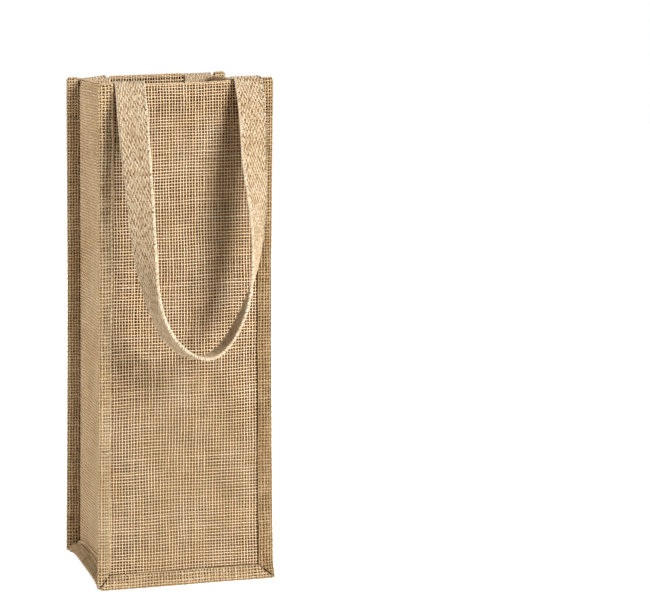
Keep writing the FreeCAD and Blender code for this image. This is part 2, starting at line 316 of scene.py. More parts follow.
def strands(surface, line, along, rise, half, thick, tone, section, lengthwise, room, finish, shear=None):
    """Closed tubes that lie on a surface: (strand, step) arrays, on the part of the map that room gives."""
    count, steps = along.shape
    sides = len(section)
    across = line[..., None] + half[..., None] * section[:, 0]
    down = np.broadcast_to(along[..., None], across.shape)
    if shear is not None:
        down = down + shear[..., None] * section[:, 0]
    lift = rise[..., None] + thick[..., None] * section[:, 1]
    a, v = (across, down) if lengthwise else (down, across)
    points = finish(lifted(surface, a, v, lift))
    aside = np.broadcast_to(section[:, 0], across.shape)
    yarn = np.stack([down, aside, np.broadcast_to(tone[..., None], across.shape)], -1)

    live = np.diff(along, axis=1) > least_length
    strand, step = np.nonzero(live)
    strand, step = strand[:, None], step[:, None]
    k = np.arange(sides)[None, :]
    here, there = (strand * steps + step) * sides, (strand * steps + step + 1) * sides
    after = (k + 1) % sides
    quads = np.stack([here + k, there + k, there + after, here + after], -1).reshape(-1, 4)
    low_u, low_v, high_u, high_v = room
    span = max(along.max() - along.min(), least_length)
    share = low_u + (high_u - low_u) * (along - along.min()) / span
    strip = (high_v - low_v) / count

    def place(row, step_at, corner):
        """Where a corner of a tube's section lies on the map."""
        u = np.broadcast_to(share[row, step_at], corner.shape)
        up = low_v + strip * (row + map_margin_share + map_used_share * corner / sides)
        return np.stack([u, up], -1)

    whole = np.broadcast_to(k, (len(strand), sides))
    quad_corners = ((step, whole), (step + 1, whole), (step + 1, whole + 1), (step, whole + 1))
    places = np.stack([place(strand, step_at, corner) for step_at, corner in quad_corners], -2)
    rows = np.flatnonzero(live.any(1))
    first = live[rows].argmax(1)
    last = steps - 1 - live[rows, ::-1].argmax(1)
    caps, cap_places = [], []
    for ends, order in ((first, -1), (last, 1)):
        ring = np.broadcast_to(np.arange(sides)[None, ::order], (len(rows), sides))
        caps.append((rows * steps + ends)[:, None] * sides + ring)
        cap_places.append(place(rows[:, None], ends[:, None], ring))
    return {
        "points": points,
        "yarn": yarn,
        "faces": [quads, np.concatenate(caps)],
        "places": [places.reshape(-1, 4, 2), np.concatenate(cap_places)],
    }


def slab(surface, a, v, outer, inner, finish, slots=(0, 0, 1)):
    """A thin closed sheet between two depths below a surface. The slots are its face's, edge's and back's."""
    tops = finish(lifted(surface, a, v, np.full(a.shape, -outer)))
    lows = finish(lifted(surface, a, v, np.full(a.shape, -inner)))
    rows, columns = a.shape
    index = np.arange(rows * columns).reshape(rows, columns)
    quads = np.stack([index[:-1, :-1], index[1:, :-1], index[1:, 1:], index[:-1, 1:]], -1).reshape(-1, 4)
    share_a, share_v = np.meshgrid(np.linspace(0, 1, rows), np.linspace(0, 1, columns), indexing="ij")
    maps = []
    for low_u, low_v, high_u, high_v in sheet_rooms:
        across, up = low_u + (high_u - low_u) * share_a, low_v + (high_v - low_v) * share_v
        maps.append(np.stack([across, up], -1).reshape(-1, 2))
    border = np.concatenate([index[0, :-1], index[:-1, -1], index[-1, :0:-1], index[:0:-1, 0]])
    after = np.roll(border, -1)
    edge = np.stack([border, after, after + index.size, border + index.size], -1)
    edge_map = np.stack([maps[0][border], maps[0][after], maps[0][after], maps[0][border]], 1)
    points = np.concatenate([tops.reshape(-1, 3), lows.reshape(-1, 3)])
    place = np.stack([a, v, np.full(a.shape, middle_tone_share)], -1).reshape(-1, 3)
    return {
        "points": points,
        "yarn": np.concatenate([place, place]),
        "faces": [quads[:, ::-1], edge, quads + index.size],
        "places": [maps[0][quads[:, ::-1]], edge_map, maps[1][quads]],
        "slots": slots,
    }


def lines(low, high, step):
    """Places from low to high, about a step apart."""
    return np.linspace(low, high, max(2, round((high - low) / step) + 1))


# Weaving

# Two waves each way in which the weave strays: height, lengths along and across the yarn, and start.
warp_strays = ((0.16, 13.0, 37.0, 0.0), (0.09, 5.1, -11.0, 1.7))
weft_strays = ((0.16, 12.0, 41.0, 0.6), (0.09, 5.7, 17.0, 0.0))
warp_jitter = 0.06
weft_jitter = 0.07
packed_pitch_share = 2.1
packed_gap = 0.3
cut_step = 0.1
most_shear = 0.7
wave_kinds = 4
# Spun yarn is uneven: the shortest and longest waves of its slubs, drift and tone, and how strong they are.
slub_lengths = (9, 60)
slub_width_share = 0.16
slub_width_limit_shares = (0.72, 1.36)
slub_thick_share = 0.1
slub_thick_limit_shares = (0.8, 1.3)
yarn_width_spread_share = 0.1
yarn_width_limit_shares = (0.78, 1.24)
over_width_share = 0.09
drift_lengths = (6, 30)
yarn_drift = 0.07
tone_lengths = (12, 80)
tone_wave_share = 0.07
yarn_tone_spread_share = 0.05
# Painted light and shade: a yarn is lighter where it passes over and darker where it dives under.
over_painted_light_share = 0.07


def waves(rng, rows, where, shortest, longest):
    """A smooth random curve for each row, about 1 high."""
    lengths = rng.uniform(shortest, longest, (rows, wave_kinds, 1))
    phases = rng.uniform(0, math.tau, (rows, wave_kinds, 1))
    return np.sin(math.tau * where[:, None, :] / lengths + phases).sum(1) / math.sqrt(wave_kinds)


def stray(strays, along, across):
    """The sum of a weave's straying waves."""
    total = 0.0
    for height, along_length, across_length, start in strays:
        total = total + height * np.sin(along / along_length + across / across_length + start)
    return total


def wandered(a, v):
    """Places on a straight grid, moved to where the weave has strayed."""
    return a + stray(warp_strays, v, a), v + stray(weft_strays, a, v)


def cut_to(inside, line, low, high, lengthwise):
    """Where each yarn's line starts and ends inside a region."""
    if inside is None:
        return np.full(len(line), low), np.full(len(line), high)
    fine = np.linspace(low, high, int((high - low) / cut_step) + 2)
    where, run = np.meshgrid(line, fine, indexing="ij")
    within = inside(where, run) if lengthwise else inside(run, where)
    starts = np.where(within, run, np.inf).min(1)
    ends = np.where(within, run, -np.inf).max(1)
    empty = ~within.any(1)
    return np.where(empty, low, starts), np.where(empty, low, ends)


def end_shear(cut, line, half, along, starts, ends, limits, lengthwise):
    """How far the two flanks of each yarn's cut ends lie apart, so that the ends follow a slanting edge."""
    one_start, one_end = cut_to(cut, line - half, limits[0], limits[1], lengthwise)
    other_start, other_end = cut_to(cut, line + half, limits[0], limits[1], lengthwise)
    whole = (one_end > one_start) & (other_end > other_start)
    start_shear = np.clip((other_start - one_start) / 2, -most_shear, most_shear)
    finish_shear = np.clip((other_end - one_end) / 2, -most_shear, most_shear)
    at_start = np.where(whole, start_shear, 0)[:, None]
    at_end = np.where(whole, finish_shear, 0)[:, None]
    first, last = along <= starts[:, None] + least_length, along >= ends[:, None] - least_length
    return np.where(first, at_start, np.where(last, at_end, 0.0))


def spaced(low, high, pitch, half):
    """Middles of yarns laid edge to edge over a width, about a pitch apart."""
    count = max(2, round((high - low - 2 * half) / pitch) + 1)
    return np.linspace(low + half, high - half, count)


def woven_parts(
    surface, a_range, v_range, seed, inside=None, finish=settled, rooms=None,
    half_yarn=yarn_half_width, packed=None, weft_lift=0.0, tone_share=middle_tone_share,
):
    """The warp and weft of a plain weave on a surface."""
    rng = np.random.default_rng(seed)
    warp_at = spaced(a_range[0], a_range[1], warp_pitch, half_yarn)
    weft_at = spaced(v_range[0], v_range[1], weft_pitch, half_yarn)
    warp_at = warp_at + rng.normal(0, warp_jitter, len(warp_at))
    weft_at = weft_at + rng.normal(0, weft_jitter, len(weft_at))
    if packed is not None:
        low, high = packed
        close = spaced(low, high, packed_pitch_share * half_yarn, half_yarn)
        below, above = weft_at[weft_at < low - packed_gap], weft_at[weft_at > high + packed_gap]
        weft_at = np.concatenate([below, close, above])

    def strayed(a, v):
        return surface(*wandered(a, v))

    def within(a, v):
        return inside(*wandered(a, v))

    rooms = rooms or {"warp": whole_map, "weft": whole_map}
    parts = {}
    ways = (("warp", warp_at, weft_at, v_range), ("weft", weft_at, warp_at, a_range))
    for name, own, other, limits in ways:
        lengthwise = name == "warp"
        room_before = np.diff(other, prepend=2 * other[0] - other[1])
        room_after = np.diff(other, append=2 * other[-1] - other[-2])
        grid = np.stack([other - float_share * room_before, other + float_share * room_after], -1).ravel()
        over = 1 - 2 * ((np.arange(len(own))[:, None] + np.arange(len(other))[None, :]) % 2)
        over = np.repeat(over if lengthwise else -over, 2, axis=1)
        cut = None if inside is None else within
        starts, ends = cut_to(cut, own, limits[0], limits[1], lengthwise)
        along = np.clip(np.broadcast_to(grid, (len(own), len(grid))), starts[:, None], ends[:, None])
        shear = None
        if inside is not None:
            shear = end_shear(cut, own, half_yarn, along, starts, ends, limits, lengthwise)
        slub = waves(rng, len(own), along, *slub_lengths)
        width_share = rng.normal(1, yarn_width_spread_share, (len(own), 1))
        width_share = np.clip(width_share, *yarn_width_limit_shares)
        slub_share = np.clip(1 + slub_width_share * slub, *slub_width_limit_shares)
        half = half_yarn * width_share * slub_share * (1 + over_width_share * over)
        thick = yarn_half_height * np.clip(1 + slub_thick_share * slub, *slub_thick_limit_shares)
        drift = yarn_drift * waves(rng, len(own), along, *drift_lengths)
        tone = tone_share + rng.normal(0, yarn_tone_spread_share, (len(own), 1))
        tone = tone + tone_wave_share * waves(rng, len(own), along, *tone_lengths) + over_painted_light_share * over
        parts[name] = strands(
            strayed,
            own[:, None] + drift,
            along,
            yarn_swing * over + (-weft_lift if lengthwise else weft_lift),
            half,
            thick,
            np.clip(tone, 0, 1),
            yarn_section_shares,
            lengthwise,
            rooms[name],
            finish,
            shear,
        )
    return parts


# Materials

white = (1, 1, 1, 1)
# Spun fibre: the twist that its streaks follow, the noises, and what each adds to the colour.
fibre_roughness = 0.86
fibre_specular = 0.1
twist_along_rate = 0.25
twist_aside_rate = 2.4
twist_lean_rate = 1.1
twist_tone_rate = 37.0
streak_scale = 2.2
streak_detail = 5.0
streak_roughness = 0.7
blotch_scale = 38.0
blotch_detail = 3.0
tone_mix_share = 0.62
streak_mix_share = 1.1
blotch_mix_share = 0.34
mix_offset = 0.53
dark_place = 0.12
light_place = 0.88
half_way = 0.5
# Where the painted shade on a yarn's flanks begins, and the curve of its half-way colour.
painted_shade_start_share = 0.27
half_shade_power = 0.52
fibre_rough_range = (0.95, 0.74)
fibre_bump = 0.8
yarn_bump_depth = 0.0003
thread_bump_depth = 0.0001
# Films: a fine grain from a darker to a lighter share of the colour.
film_roughness = 0.8
film_specular = 0.05
film_scale = 900.0
film_tone_shares = (0.6, 1.5)
film_rough_range = (0.9, 0.66)
film_bump = 0.5
film_bump_depth = 0.0002


def shader(name, rough, specular):
    """A new material with its node tree and main shader."""
    material = bpy.data.materials.new(name)
    material.use_nodes = True
    tree = material.node_tree
    body = tree.nodes["Principled BSDF"]
    body.inputs["Roughness"].default_value = rough
    body.inputs["Specular IOR Level"].default_value = specular
    return material, tree, body


def add(tree, kind, **settings):
    node = tree.nodes.new(kind)
    for key, value in settings.items():
        setattr(node, key, value)
    return node


def math_node(tree, operation, first, second):
    node = add(tree, "ShaderNodeMath", operation=operation)
    for socket, value in zip(node.inputs, (first, second)):
        if isinstance(value, (int, float)):
            socket.default_value = value
        else:
            tree.links.new(value, socket)
    return node.outputs[0]


def scaled(tree, value, share):
    return math_node(tree, "MULTIPLY", value, share)


def noise(tree, vector, **values):
    """A noise over a vector, with the sockets that values names."""
    node = add(tree, "ShaderNodeTexNoise")
    for name, value in values.items():
        node.inputs[name].default_value = value
    tree.links.new(vector, node.inputs["Vector"])
    return node.outputs[0]


def colour_ramp(tree, value, stops):
    """Colours blended between stops, each a place from 0 to 1 and a colour."""
    node = add(tree, "ShaderNodeValToRGB")
    elements = node.color_ramp.elements
    for element, (place, colour) in zip(elements, (stops[0], stops[-1])):
        element.position = place
        element.color = colour
    for place, colour in stops[1:-1]:
        elements.new(place).color = colour
    tree.links.new(value, node.inputs[0])
    return node.outputs[0]


def textured(tree, body, height, rough_range, strength, depth):
    """Roughness and bump that both follow one noise."""
    rough = add(tree, "ShaderNodeMapRange")
    rough.inputs["To Min"].default_value = rough_range[0]
    rough.inputs["To Max"].default_value = rough_range[1]
    tree.links.new(height, rough.inputs[0])
    tree.links.new(rough.outputs[0], body.inputs["Roughness"])
    bump = add(tree, "ShaderNodeBump")
    bump.inputs["Strength"].default_value = strength
    bump.inputs["Distance"].default_value = depth
    tree.links.new(height, bump.inputs["Height"])
    tree.links.new(bump.outputs[0], body.inputs["Normal"])


def linear(red, green, blue):
    """A colour given as it looks on a screen, 0 to 255."""
    def one(value):
        share = value / 255
        return share / 12.92 if share <= 0.04045 else ((share + 0.055) / 1.055) ** 2.4

    return (one(red), one(green), one(blue), 1.0)


def spun_fibre(name, screen_colours, painted_flank_shade, painted_shade_reach, bump_depth):
    """Twisted plant fibre: a tone for each yarn, streaks along its twist, blotches, and painted shade that
    darkens the flanks.
    """
    material, tree, body = shader(name, fibre_roughness, fibre_specular)
    links = tree.links
    yarn = add(tree, "ShaderNodeAttribute", attribute_name="yarn")
    parts = add(tree, "ShaderNodeSeparateXYZ")
    links.new(yarn.outputs["Vector"], parts.inputs[0])
    along, aside, tone = parts.outputs
    twist = add(tree, "ShaderNodeCombineXYZ")
    turned = scaled(tree, aside, twist_aside_rate)
    turned = math_node(tree, "ADD", turned, scaled(tree, along, twist_lean_rate))
    links.new(scaled(tree, along, twist_along_rate), twist.inputs[0])
    links.new(turned, twist.inputs[1])
    links.new(scaled(tree, tone, twist_tone_rate), twist.inputs[2])
    streaks = noise(
        tree, twist.outputs[0], Scale=streak_scale, Detail=streak_detail, Roughness=streak_roughness
    )
    coordinates = add(tree, "ShaderNodeTexCoord")
    blotches = noise(tree, coordinates.outputs["Object"], Scale=blotch_scale, Detail=blotch_detail)
    mixed = scaled(tree, tone, tone_mix_share)
    mixed = math_node(tree, "ADD", mixed, scaled(tree, streaks, streak_mix_share))
    mixed = math_node(tree, "ADD", mixed, scaled(tree, blotches, blotch_mix_share))
    mixed = math_node(tree, "SUBTRACT", mixed, mix_offset)
    dark, middle, light = (linear(*colour) for colour in screen_colours)
    colour = colour_ramp(tree, mixed, ((dark_place, dark), (half_way, middle), (light_place, light)))
    # Painted shade: the yarn's colour darkens from the middle of its section towards its flanks.
    flank = add(tree, "ShaderNodeMapRange", interpolation_type="SMOOTHSTEP")
    flank.inputs["From Min"].default_value = painted_shade_start_share
    flank.inputs["To Max"].default_value = painted_shade_reach
    links.new(math_node(tree, "ABSOLUTE", aside, 0), flank.inputs[0])
    half_shade = tuple(value ** half_shade_power for value in painted_flank_shade)
    shade = colour_ramp(tree, flank.outputs[0], ((0, white), (half_way, half_shade), (1, painted_flank_shade)))
    shaded = add(tree, "ShaderNodeMix", data_type="RGBA", blend_type="MULTIPLY")
    shaded.inputs["Factor"].default_value = 1.0
    links.new(colour, shaded.inputs["A"])
    links.new(shade, shaded.inputs["B"])
    links.new(shaded.outputs["Result"], body.inputs["Base Color"])
    textured(tree, body, streaks, fibre_rough_range, fibre_bump, bump_depth)
    return material


def grained_film(name, screen_colour):
    """A matt film or core behind the yarns, with a fine grain in its colour, roughness and surface."""
    material, tree, body = shader(name, film_roughness, film_specular)
    coordinates = add(tree, "ShaderNodeTexCoord")
    grain = noise(tree, coordinates.outputs["Object"], Scale=film_scale)
    colour = linear(*screen_colour)[:3]
    darker, lighter = (tuple(value * share for value in colour) + (1.0,) for share in film_tone_shares)
    tree.links.new(colour_ramp(tree, grain, ((0, darker), (1, lighter))), body.inputs["Base Color"])
    textured(tree, body, grain, film_rough_range, film_bump, film_bump_depth)
    return material


# Painted shade on yarn flanks: how much of its colour the flank of a yarn keeps, and how far the flanks take
# that painted shade.
deep_painted_shade = (0.18, 0.056, 0.005, 1.0)
pale_painted_shade = (0.4, 0.273, 0.14, 1.0)
open_painted_shade_reach = 1.0
close_painted_shade_reach = 0.5

jute_colours = ((187, 147, 97), (243, 213, 171), (255, 245, 222))
binding_colours = ((162, 131, 87), (213, 187, 148), (239, 223, 194))
webbing_colours = ((188, 160, 122), (223, 203, 173), (245, 231, 208))
thread_colours = ((150, 118, 80), (196, 165, 124), (220, 193, 154))
jute = spun_fibre("jute_yarn", jute_colours, deep_painted_shade, open_painted_shade_reach, yarn_bump_depth)
binding_jute = spun_fibre("binding_yarn", binding_colours, deep_painted_shade, close_painted_shade_reach, yarn_bump_depth)
webbing = spun_fibre("webbing_yarn", webbing_colours, pale_painted_shade, close_painted_shade_reach, yarn_bump_depth)
thread = spun_fibre("sewing_thread", thread_colours, pale_painted_shade, close_painted_shade_reach, thread_bump_depth)
# The film behind the weave is real, but its dark brown face is painted shade for the holes between the yarns.
hole_shade_lining = grained_film("lining_between_yarns", (48, 21, 4))
inside_film = grained_film("laminated_inside", (150, 120, 84))
# The webbing's core is real. Its dark colour is partly its own and partly painted shade between the floats.
webbing_core_painted_shade = grained_film("webbing_core_painted_shade", (127, 94, 52))


# Panels

fold_ease = 0.22
fold_middle = cloth / 2 + fold_ease
rim_turn = math.pi * fold_middle
hem_row_drop = 3.3
hem_row_z = bag_height - hem_row_drop
hem_end = rim_z + rim_turn + hem_depth - 2 * cloth
rim_top_share = 0.6
rim_top = rim_z + rim_turn * rim_top_share
roll_before = 0.2
roll_beyond = 1.0
rim_roll = (rim_z - roll_before, rim_z + rim_turn + roll_beyond)
groove_depth = 0.5
hem_groove_width = 0.9
seam_groove_width = 1.0
# The hem is narrower than the panel, so that it clears the walls that stand beside it.
wide_half = 46.6
wide_hem_half = 41.8
wide_low = 6.4
wide_hem_inset = 0.8
side_half = 48.0
side_hem_half = 44.4
side_low = 4.6
side_weft_lift = 0.1
notch_depth = 4.0
notch_step = 0.5
notch_inset = 0.6
base_half_width = 42.0
base_half_depth = 46.2
base_film_half_width = 43.0
base_film_half_depth = 47.0
hem_film_drop = 0.4
film_inset = 0.4
film_column_share = 0.09
film_step = 6.0
rim_film_step = 0.55
base_film_step = 5.0
wide_seed = 11
side_seed = 21
base_seed = 31


def groove(distance, width):
    """The shallow dip along a row of stitches."""
    return groove_depth * np.exp(-((distance / width) ** 2))


def hem_path(v):
    """How far from the seam, and how high, the cloth lies at a length v up its outside and over the rim."""
    turn = np.clip((v - rim_z) / fold_middle, 0, math.pi)
    reach = fold_middle * np.cos(turn) - groove(v - hem_row_z, hem_groove_width)
    beyond = np.maximum(v - rim_z - rim_turn, 0)
    return reach, np.minimum(v, rim_z) + fold_middle * np.sin(turn) - beyond


def wide_surface(face):
    """The front or back panel."""
    def surface(a, v):
        reach, z = hem_path(v)
        return np.stack([-face * a, face * (seam_y + reach), z], -1)

    return surface


def side_surface(side):
    """A side panel, whose edges turn out into the seams."""
    turn_y = inner_y - fold_radius
    radius = fold_radius + cloth - fold_middle

    def surface(a, v):
        reach, z = hem_path(v)
        far = np.abs(a)
        bend = np.clip((far - turn_y) / radius, 0, math.pi / 2)
        out = radius * (1 - np.cos(bend)) + np.maximum(far - turn_y - radius * math.pi / 2, 0)
        y = np.sign(a) * (np.minimum(far, turn_y) + radius * np.sin(bend))
        out = out + np.maximum(bend_z - v, 0)
        return np.stack([side * (web_inner_x + reach + out), side * y, z], -1)

    return surface


def base_surface(a, v):
    return np.stack([-a, v, np.full(np.shape(a), base_z + cloth - fold_middle)], -1)


def wide_inside(a, v):
    """Where the front or back panel has cloth: its full width outside, less in the hem."""
    return (v < rim_top) | (np.abs(a) < web_inner_x - wide_hem_inset)


def side_inside(a, v):
    """Where a side panel has cloth: its seam edges end below the rim, and its hem is narrower."""
    far = np.abs(a)
    below_rim = (v < rim_z - notch_step) & (far < inner_y - notch_inset)
    return (v < rim_z - notch_depth) | (far < side_hem_y) | below_rim


def hem_lines(low):
    """Heights of the lining's rows, close together round the rim."""
    wall = lines(low, rim_z, film_step)
    roll = lines(rim_z, rim_z + rim_turn, rim_film_step)
    hem = lines(rim_z + rim_turn, hem_end, film_step)
    return np.concatenate([wall, roll[1:], hem[1:]])


def declare(pieces, nodes):
    for piece in pieces:
        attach(piece, "bag")
        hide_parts(*nodes)


def flat_size(width, length):
    return (width * metres, length * metres)


def cloth_panel(name, surface, a_half, hem_half, low, inside, seed, node, weft_lift=0.0):
    """The warp, weft and lining of a panel, from its lower edge over the rim to the end of its hem."""
    parts = woven_parts(
        surface, (-a_half, a_half), (low, hem_end), seed, inside, packed=rim_roll, weft_lift=weft_lift
    )
    yarns = [write_piece(name + "_" + way, [part], [jute]) for way, part in parts.items()]
    a, v = np.meshgrid(lines(-1, 1, film_column_share), hem_lines(low), indexing="ij")
    a = a * np.where(v < rim_z - hem_film_drop, a_half - film_inset, hem_half - film_inset)
    film = slab(surface, a, v, film_depth, film_low, settled)
    sheet = write_piece(name + "_lining", [film], [hole_shade_lining, inside_film])
    declare(yarns + [sheet], [node])


for number, (face, face_name) in enumerate(face_names.items()):
    cloth_panel(
        face_name + "_cloth", wide_surface(face), wide_half, wide_hem_half, wide_low, wide_inside,
        wide_seed + number, face_name + "_panel",
    )
for number, (side, side_name) in enumerate(side_names.items()):
    cloth_panel(
        side_name + "_side_cloth", side_surface(side), side_half, side_hem_half, side_low, side_inside,
        side_seed + number, side_name + "_side_panel", side_weft_lift,
    )

base_parts = woven_parts(
    base_surface, (-base_half_width, base_half_width), (-base_half_depth, base_half_depth), base_seed
)
base_yarns = [write_piece("base_cloth_" + way, [part], [jute]) for way, part in base_parts.items()]
base_a, base_v = np.meshgrid(
    lines(-base_film_half_width, base_film_half_width, base_film_step),
    lines(-base_film_half_depth, base_film_half_depth, base_film_step),
    indexing="ij",
)
base_film = slab(base_surface, base_a, base_v, film_depth, film_low, settled)
base_sheet = write_piece("base_cloth_lining", [base_film], [hole_shade_lining, inside_film])
declare(base_yarns + [base_sheet], ["base_panel"])


# Bindings

nose_gap = 0.05
nose_middle = nose_radius - relief - nose_gap
half_nose = math.pi * nose_middle / 2
cap_height = 1.0
leg_length = binding_width - nose_radius
inner_leg_length = leg_length - tape_gap
right_leg_extra = 1.85
base_leg_extra = 2.0
# The left upright bindings are sewn a little askew, so their inner edges run out of true.
flare_shares = {left: 0.22, right: 0.0}
upright_legs = {left: leg_length, right: leg_length + right_leg_extra}
# Each strip's tone is shifted as painted light and shade: the front right strip darker, the back left strip
# lighter.
strip_painted_light_shares = {(front, left): 0.5, (front, right): 0.14, (back, left): 0.58, (back, right): 0.45}
seam_inset = 1.6
side_seam_inset = 0.3
base_leg = leg_length + base_leg_extra
base_top = nose_z + base_leg
upright_low = -0.4
upright_top = bag_height - relief
slant = math.sqrt(0.5)
side_leg = (nose_x - web_inner_x) / slant - (bend_z - base_z - cloth) - tape_gap
# The mitre between an upright and a base strip, whose line inside the seam is a bent one.
mitre_gap = 0.36
mitre_close = 0.6
mitre_close_z = 1.2
mitre_close_run = 2.2
mitre_turn = 3.0
inner_mitre_x = 50.3
inner_mitre_z = 4.5
inner_mitre_slope = 0.4
corner_mitre_slope = 2.4
joint_y = 3.0
joint_half_gap = 0.75
side_strip_lift = 0.12
strip_room_share = 0.98
room_gap_share = 0.005
strip_film_inset = 0.2
strip_film_end = 0.1
strip_film_rise = 0.05
strip_film_sink = 0.25
leg_film_step = 2.5
nose_film_step = 0.7
strip_film_step = 3.0
upright_strip_seed = 41
base_strip_seed = 51
side_strip_seed = 61


def folded_tape(nose, forwards, outwards, run, seam_at, top=None, flare=0.0):
    """A strip folded round a seam: a runs across it, v along it, and hand says which leg a ends on."""
    nose, forwards, outwards, run = (np.array(value, float) for value in (nose, forwards, outwards, run))
    hand = round(float(np.dot(np.cross(forwards, outwards), run)))

    def surface(a, v):
        a = hand * a
        bend = np.clip(a / nose_middle, -math.pi / 2, math.pi / 2)
        leg = np.maximum(np.abs(a) - half_nose, 0)
        leg = np.where(a > 0, leg * (1 + flare * (2 * v / bag_height - 1)), leg)
        ahead = nose_middle * np.cos(bend) - leg
        out = nose_middle * np.sin(bend)
        out = out - np.where(a > 0, groove(leg - seam_at, seam_groove_width), 0.0)
        far = v
        if top is not None:
            close = np.clip((v - (top - cap_height)) / cap_height, 0, math.pi / 2)
            out = out * np.cos(close)
            ahead = np.where(leg > 0, ahead, ahead * np.cos(close))
            far = np.minimum(v, top - cap_height) + cap_height * np.sin(close)
        return nose + ahead[..., None] * forwards + out[..., None] * outwards + far[..., None] * run

    surface.hand = hand
    return surface


def upright_strip(face, side, top=None):
    """An upright binding, closed over at the top where one is given."""
    nose = (side * nose_x, face * seam_y, 0)
    seam_at = upright_legs[side] - seam_inset
    return folded_tape(nose, (side, 0, 0), (0, face, 0), (0, 0, 1), seam_at, top, flare_shares[side])


def base_strip(face):
    """The base binding of the front or the back."""
    nose = (0, face * seam_y, nose_z)
    return folded_tape(nose, (0, 0, -1), (0, face, 0), (1, 0, 0), base_leg - seam_inset)


def side_base_strip(side):
    """The base binding of a side, which slants out and down."""
    nose = (side * nose_x, 0, nose_z)
    forwards, outwards = (side * slant, 0, -slant), (side * slant, 0, slant)
    return folded_tape(nose, forwards, outwards, (0, 1, 0), leg_length - side_seam_inset)


def above_mitre(points):
    """How far points lie over the slanting line where an upright and a base binding meet."""
    x, y, z = np.moveaxis(points, -1, 0)
    leg = by_side(upright_legs, x)
    corner_x = nose_x - leg * (1 + by_side(flare_shares, x) * (2 * base_top / bag_height - 1))
    run = half_width - corner_x
    from_edge = half_width - np.abs(x)
    outside = (z * run - from_edge * base_top) / np.hypot(run, base_top)
    inner_line = inner_mitre_z + inner_mitre_slope * (inner_mitre_x - np.abs(x))
    inside = z - np.minimum(inner_line, corner_mitre_slope * from_edge)
    share = eased(half_way + (seam_y - np.abs(y)) / mitre_turn)
    return outside * (1 - share) + inside * share


def mitre_room(points):
    """Half the gap at a mitre, which closes towards the corner."""
    return mitre_gap - mitre_close * (1 - eased((points[..., 2] - mitre_close_z) / mitre_close_run))


def mitred(surface, way):
    """Where a strip has cloth: above its mitres for way 1, and below them for way -1."""
    def inside(a, v):
        points = surface(a, v)
        return way * above_mitre(points) > mitre_room(points)

    return inside


def binding(
    name, surface, inner, outer, v_range, seed, inside, node,
    joint_at=None, weft_lift=0.0, tone_share=middle_tone_share,
):
    """The weave and lining of a folded strip, in two lengths where it has a joint."""
    across = sorted((-surface.hand * (half_nose + inner), surface.hand * (half_nose + outer)))
    lengths = [v_range]
    if joint_at is not None:
        lengths = [(v_range[0], joint_at - joint_half_gap), (joint_at + joint_half_gap, v_range[1])]
    parts = []
    for number, length in enumerate(lengths):
        low, high = number / len(lengths), (number + strip_room_share) / len(lengths)
        middle = (low + high) / 2
        rooms = {"warp": (0, low, 1, middle - room_gap_share), "weft": (0, middle + room_gap_share, 1, high)}
        woven = woven_parts(
            surface, across, length, seed + number, inside, rounded_and_settled, rooms,
            binding_half_width, None, weft_lift, tone_share,
        )
        parts += list(woven.values())
    yarns = write_piece(name + "_weave", parts, [binding_jute])
    a_lines = np.concatenate([
        lines(across[0] + strip_film_inset, -half_nose, leg_film_step),
        lines(-half_nose, half_nose, nose_film_step)[1:],
        lines(half_nose, across[1] - strip_film_inset, leg_film_step)[1:],
    ])
    v_length = v_range[1] - v_range[0]
    a, v = np.meshgrid(a_lines, lines(v_range[0], v_range[1], strip_film_step), indexing="ij")
    if inside is not None:
        low, high = cut_to(inside, a_lines, v_range[0], v_range[1], True)
        run = high - low - 2 * strip_film_end
        v = low[:, None] + strip_film_end + run[:, None] * (v - v_range[0]) / v_length
    outer_depth, inner_depth = film_depth - strip_film_rise, film_depth + strip_film_sink
    film = slab(surface, a, v, outer_depth, inner_depth, rounded_and_settled)
    # Both faces of a strip's film take the dark colour: painted shade behind the weave.
    sheet = write_piece(name + "_lining", [film], [hole_shade_lining, hole_shade_lining])
    declare([yarns, sheet], [node])


for number, (face, face_name) in enumerate(face_names.items()):
    for side, side_name in side_names.items():
        name = face_name + "_" + side_name + "_binding"
        surface = upright_strip(face, side, upright_top)
        top_v = upright_top + cap_height * (math.pi / 2 - 1)
        binding(
            name + "_strip", surface, inner_leg_length, upright_legs[side], (upright_low, top_v),
            upright_strip_seed + 2 * number + side, mitred(surface, 1), name,
            tone_share=strip_painted_light_shares[face, side],
        )
    name = face_name + "_base_binding"
    surface = base_strip(face)
    binding(
        name + "_strip", surface, inner_leg_length, base_leg, (-half_width, half_width),
        base_strip_seed + number, mitred(surface, -1), name,
    )
for number, (side, side_name) in enumerate(side_names.items()):
    name = side_name + "_base_binding"
    binding(
        name + "_strip", side_base_strip(side), side_leg, leg_length, (-end_y, end_y),
        side_strip_seed + number, None, name, side * joint_y, side_strip_lift,
    )


# Handles

# The hanging strap's middle line: across, up, and how far it has turned from flat, in degrees.
strap_course = np.array([
    (-33.6, 295.7, 0.0),
    (-35.0, 262.6, 26.0),
    (-33.9, 231.2, 42.7),
    (-32.1, 201.4, 55.0),
    (-28.3, 175.5, 73.6),
    (-20.5, 155.1, 78.2),
    (-8.8, 143.0, 79.5),
    (4.4, 141.1, 87.2),
    (16.5, 151.7, 89.3),
    (26.1, 170.7, 81.2),
    (31.9, 194.2, 61.4),
    (34.0, 221.9, 43.5),
    (33.7, 249.3, 23.5),
    (35.1, 273.6, 12.0),
    (35.9, 295.7, 4.0),
])
course_spans = 24
most_turn = 95
leave_angle = 0.55
right_tilt = 0.1
strap_lean = strap_width / 2
free_run = 30
climb_step = 1.0
fold_step = 0.12
strap_seed = 71
seed_step = 10
